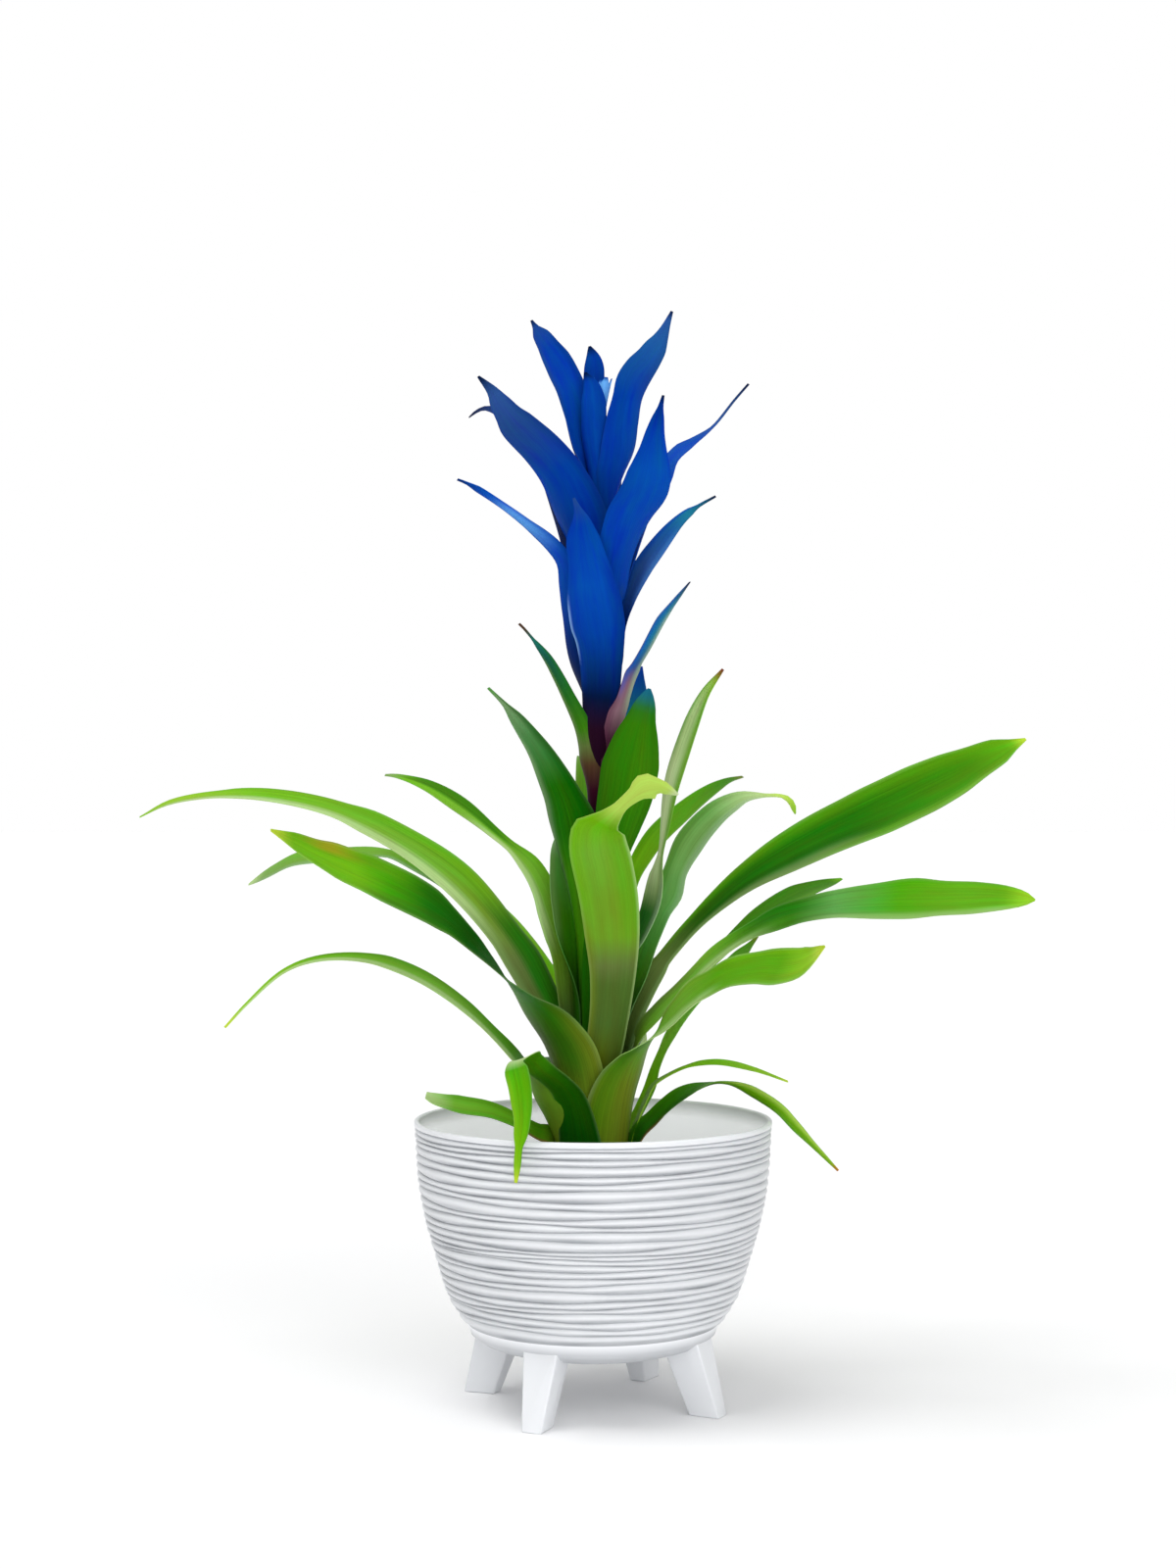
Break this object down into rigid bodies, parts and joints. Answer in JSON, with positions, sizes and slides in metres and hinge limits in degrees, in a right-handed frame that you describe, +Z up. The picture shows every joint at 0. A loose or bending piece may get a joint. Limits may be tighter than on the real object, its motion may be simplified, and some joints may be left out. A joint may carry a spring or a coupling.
{
  "type": "potted guzmania",
  "caption": "Guzmania in a round ridged bowl planter on splayed legs: strap leaves in a rosette round a tall stalk of upright pointed bracts.",
  "frame": {"origin": "on the floor under the middle of the bowl, level with the bottom of the legs", "axes": "+Z up along the flower stalk, -Y towards the picture's camera, +X to the right in the picture"},
  "size_m": [0.5157, 0.3017, 0.6068],
  "materials": {
    "white_plastic": "satin, with fine wavy ridges round the bowl",
    "soil": "rough dark potting soil",
    "stalk": "smooth maroon stem",
    "leaf_green": "smooth leaf with a soft sheen",
    "leaf_yellow_green": "smooth leaf with a soft sheen",
    "leaf_dark": "smooth leaf with a soft sheen",
    "bract_blue": "smooth dyed bract with a soft sheen",
    "bract_mauve": "smooth bract with a soft sheen",
    "petal_blue": "thin soft petal"
  },
  "bodies": {
    "root": {"pot_bowl": "white_plastic", "front_left_leg": "white_plastic", "front_right_leg": "white_plastic", "back_right_leg": "white_plastic", "back_left_leg": "white_plastic", "soil": "soil", "flower_stalk": "stalk", "tall_left_leaf": "leaf_green", "back_tall_leaf": "leaf_dark", "thin_upright_leaf": "leaf_yellow_green", "blue_tipped_leaf": "leaf_green", "inner_left_leaf": "leaf_dark", "back_high_leaf": "leaf_green", "back_right_short_leaf": "leaf_green", "upper_left_leaf": "leaf_green", "centre_front_leaf": "leaf_yellow_green", "curl_right_leaf": "leaf_green", "far_left_leaf": "leaf_green", "broad_right_leaf": "leaf_green", "long_left_leaf": "leaf_green", "back_arch_leaf": "leaf_green", "inner_level_right_leaf": "leaf_green", "twisted_left_leaf": "leaf_green", "level_right_leaf": "leaf_green", "back_low_leaf": "leaf_green", "notched_right_leaf": "leaf_yellow_green", "droop_left_leaf": "leaf_yellow_green", "back_fall_leaf": "leaf_yellow_green", "over_rim_right_leaf": "leaf_green", "low_left_leaf": "leaf_green", "back_right_straight_leaf": "leaf_green", "far_right_thin_leaf": "leaf_yellow_green", "folded_front_leaf": "leaf_green", "back_left_leaf": "leaf_green", "back_left_low_leaf": "leaf_green", "top_back_bract": "bract_blue", "top_inner_bract": "bract_blue", "top_left_bract": "bract_blue", "top_right_bract": "bract_blue", "left_front_bract": "bract_blue", "right_front_bract": "bract_blue", "back_upper_bract": "bract_blue", "right_thin_bract": "bract_blue", "left_far_bract": "bract_blue", "left_thin_bract": "bract_blue", "right_low_bract": "bract_blue", "back_low_bract": "bract_blue", "front_bract": "bract_blue", "scape_right_bract": "bract_mauve", "scape_left_bract": "leaf_dark", "scape_back_bract": "leaf_dark", "flower_petals": "petal_blue"}
  },
  "joints": []
}
